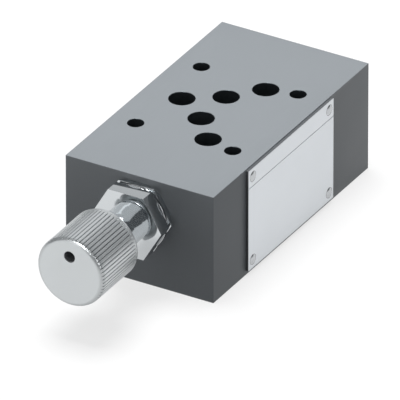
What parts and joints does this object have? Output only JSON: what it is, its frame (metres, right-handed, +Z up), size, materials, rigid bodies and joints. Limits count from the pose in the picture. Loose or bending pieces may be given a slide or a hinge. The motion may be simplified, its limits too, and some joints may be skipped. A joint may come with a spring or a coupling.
{
  "type": "hydraulic sandwich valve",
  "caption": "Sandwich plate relief valve with a through port pattern, a screw-in cartridge in one end and a ridged adjusting knob.",
  "frame": {"origin": "middle of the four mounting holes, on the block's underside", "axes": "+X towards the nameplate side, +Y along the block away from the knob, +Z up through the stack"},
  "size_m": [0.072, 0.185, 0.05],
  "materials": {
    "block_iron": "ground and phosphated grey, satin",
    "zinc_steel": "bright zinc plated, turned",
    "washer_steel": "polished edge",
    "knob_aluminium": "clear anodised, straight knurl",
    "plate_aluminium": "matt anodised, bare",
    "rivet_steel": "bright rivet heads",
    "seal_rubber": "moulded nitrile",
    "backup_plastic": "turned PTFE",
    "hard_steel": "hardened and ground",
    "spring_steel": "shot peened wire",
    "black_steel": "black oxide"
  },
  "bodies": {
    "base": {"valve_block": "block_iron", "port_o_rings": "seal_rubber", "cartridge_body": "zinc_steel", "flange_o_ring": "seal_rubber", "nose_o_ring": "seal_rubber", "nose_backup_ring": "backup_plastic", "valve_seat": "hard_steel", "pressure_spring": "spring_steel", "spring_housing": "zinc_steel", "sealing_washer": "washer_steel", "housing_o_ring": "seal_rubber", "name_plate": "plate_aluminium", "plate_rivets": "rivet_steel"},
    "setting_slider": {"setting_piston": "hard_steel", "piston_o_ring": "seal_rubber", "thrust_ball": "hard_steel"},
    "knob_unit": {"adjusting_spindle": "hard_steel", "spindle_stop_ring": "spring_steel", "knob": "knob_aluminium", "knob_grub_screw": "black_steel"},
    "poppet_unit": {"poppet": "hard_steel", "spring_plate": "hard_steel"}
  },
  "joints": [
    {"name": "setting_travel", "type": "slide", "parent": "base", "child": "setting_slider", "axis": [0, 1, 0], "range_m": [0, 0.00501], "deforming": ["pressure_spring"]},
    {"name": "knob_turn", "type": "hinge", "parent": "setting_slider", "child": "knob_unit", "pos_m": [0.0004, -0.09225, 0.0327], "axis": [0, 1, 0], "range_deg": [0, 1200]},
    {"name": "poppet_lift", "type": "slide", "parent": "base", "child": "poppet_unit", "axis": [0, -1, 0], "range_m": [0, 0.002], "stiffness_N_per_m": 20000, "deforming": ["pressure_spring"]}
  ],
  "couplings": [
    {"joint": "setting_travel", "follows": "knob_turn", "m_per_rad": 0.00023873}
  ]
}
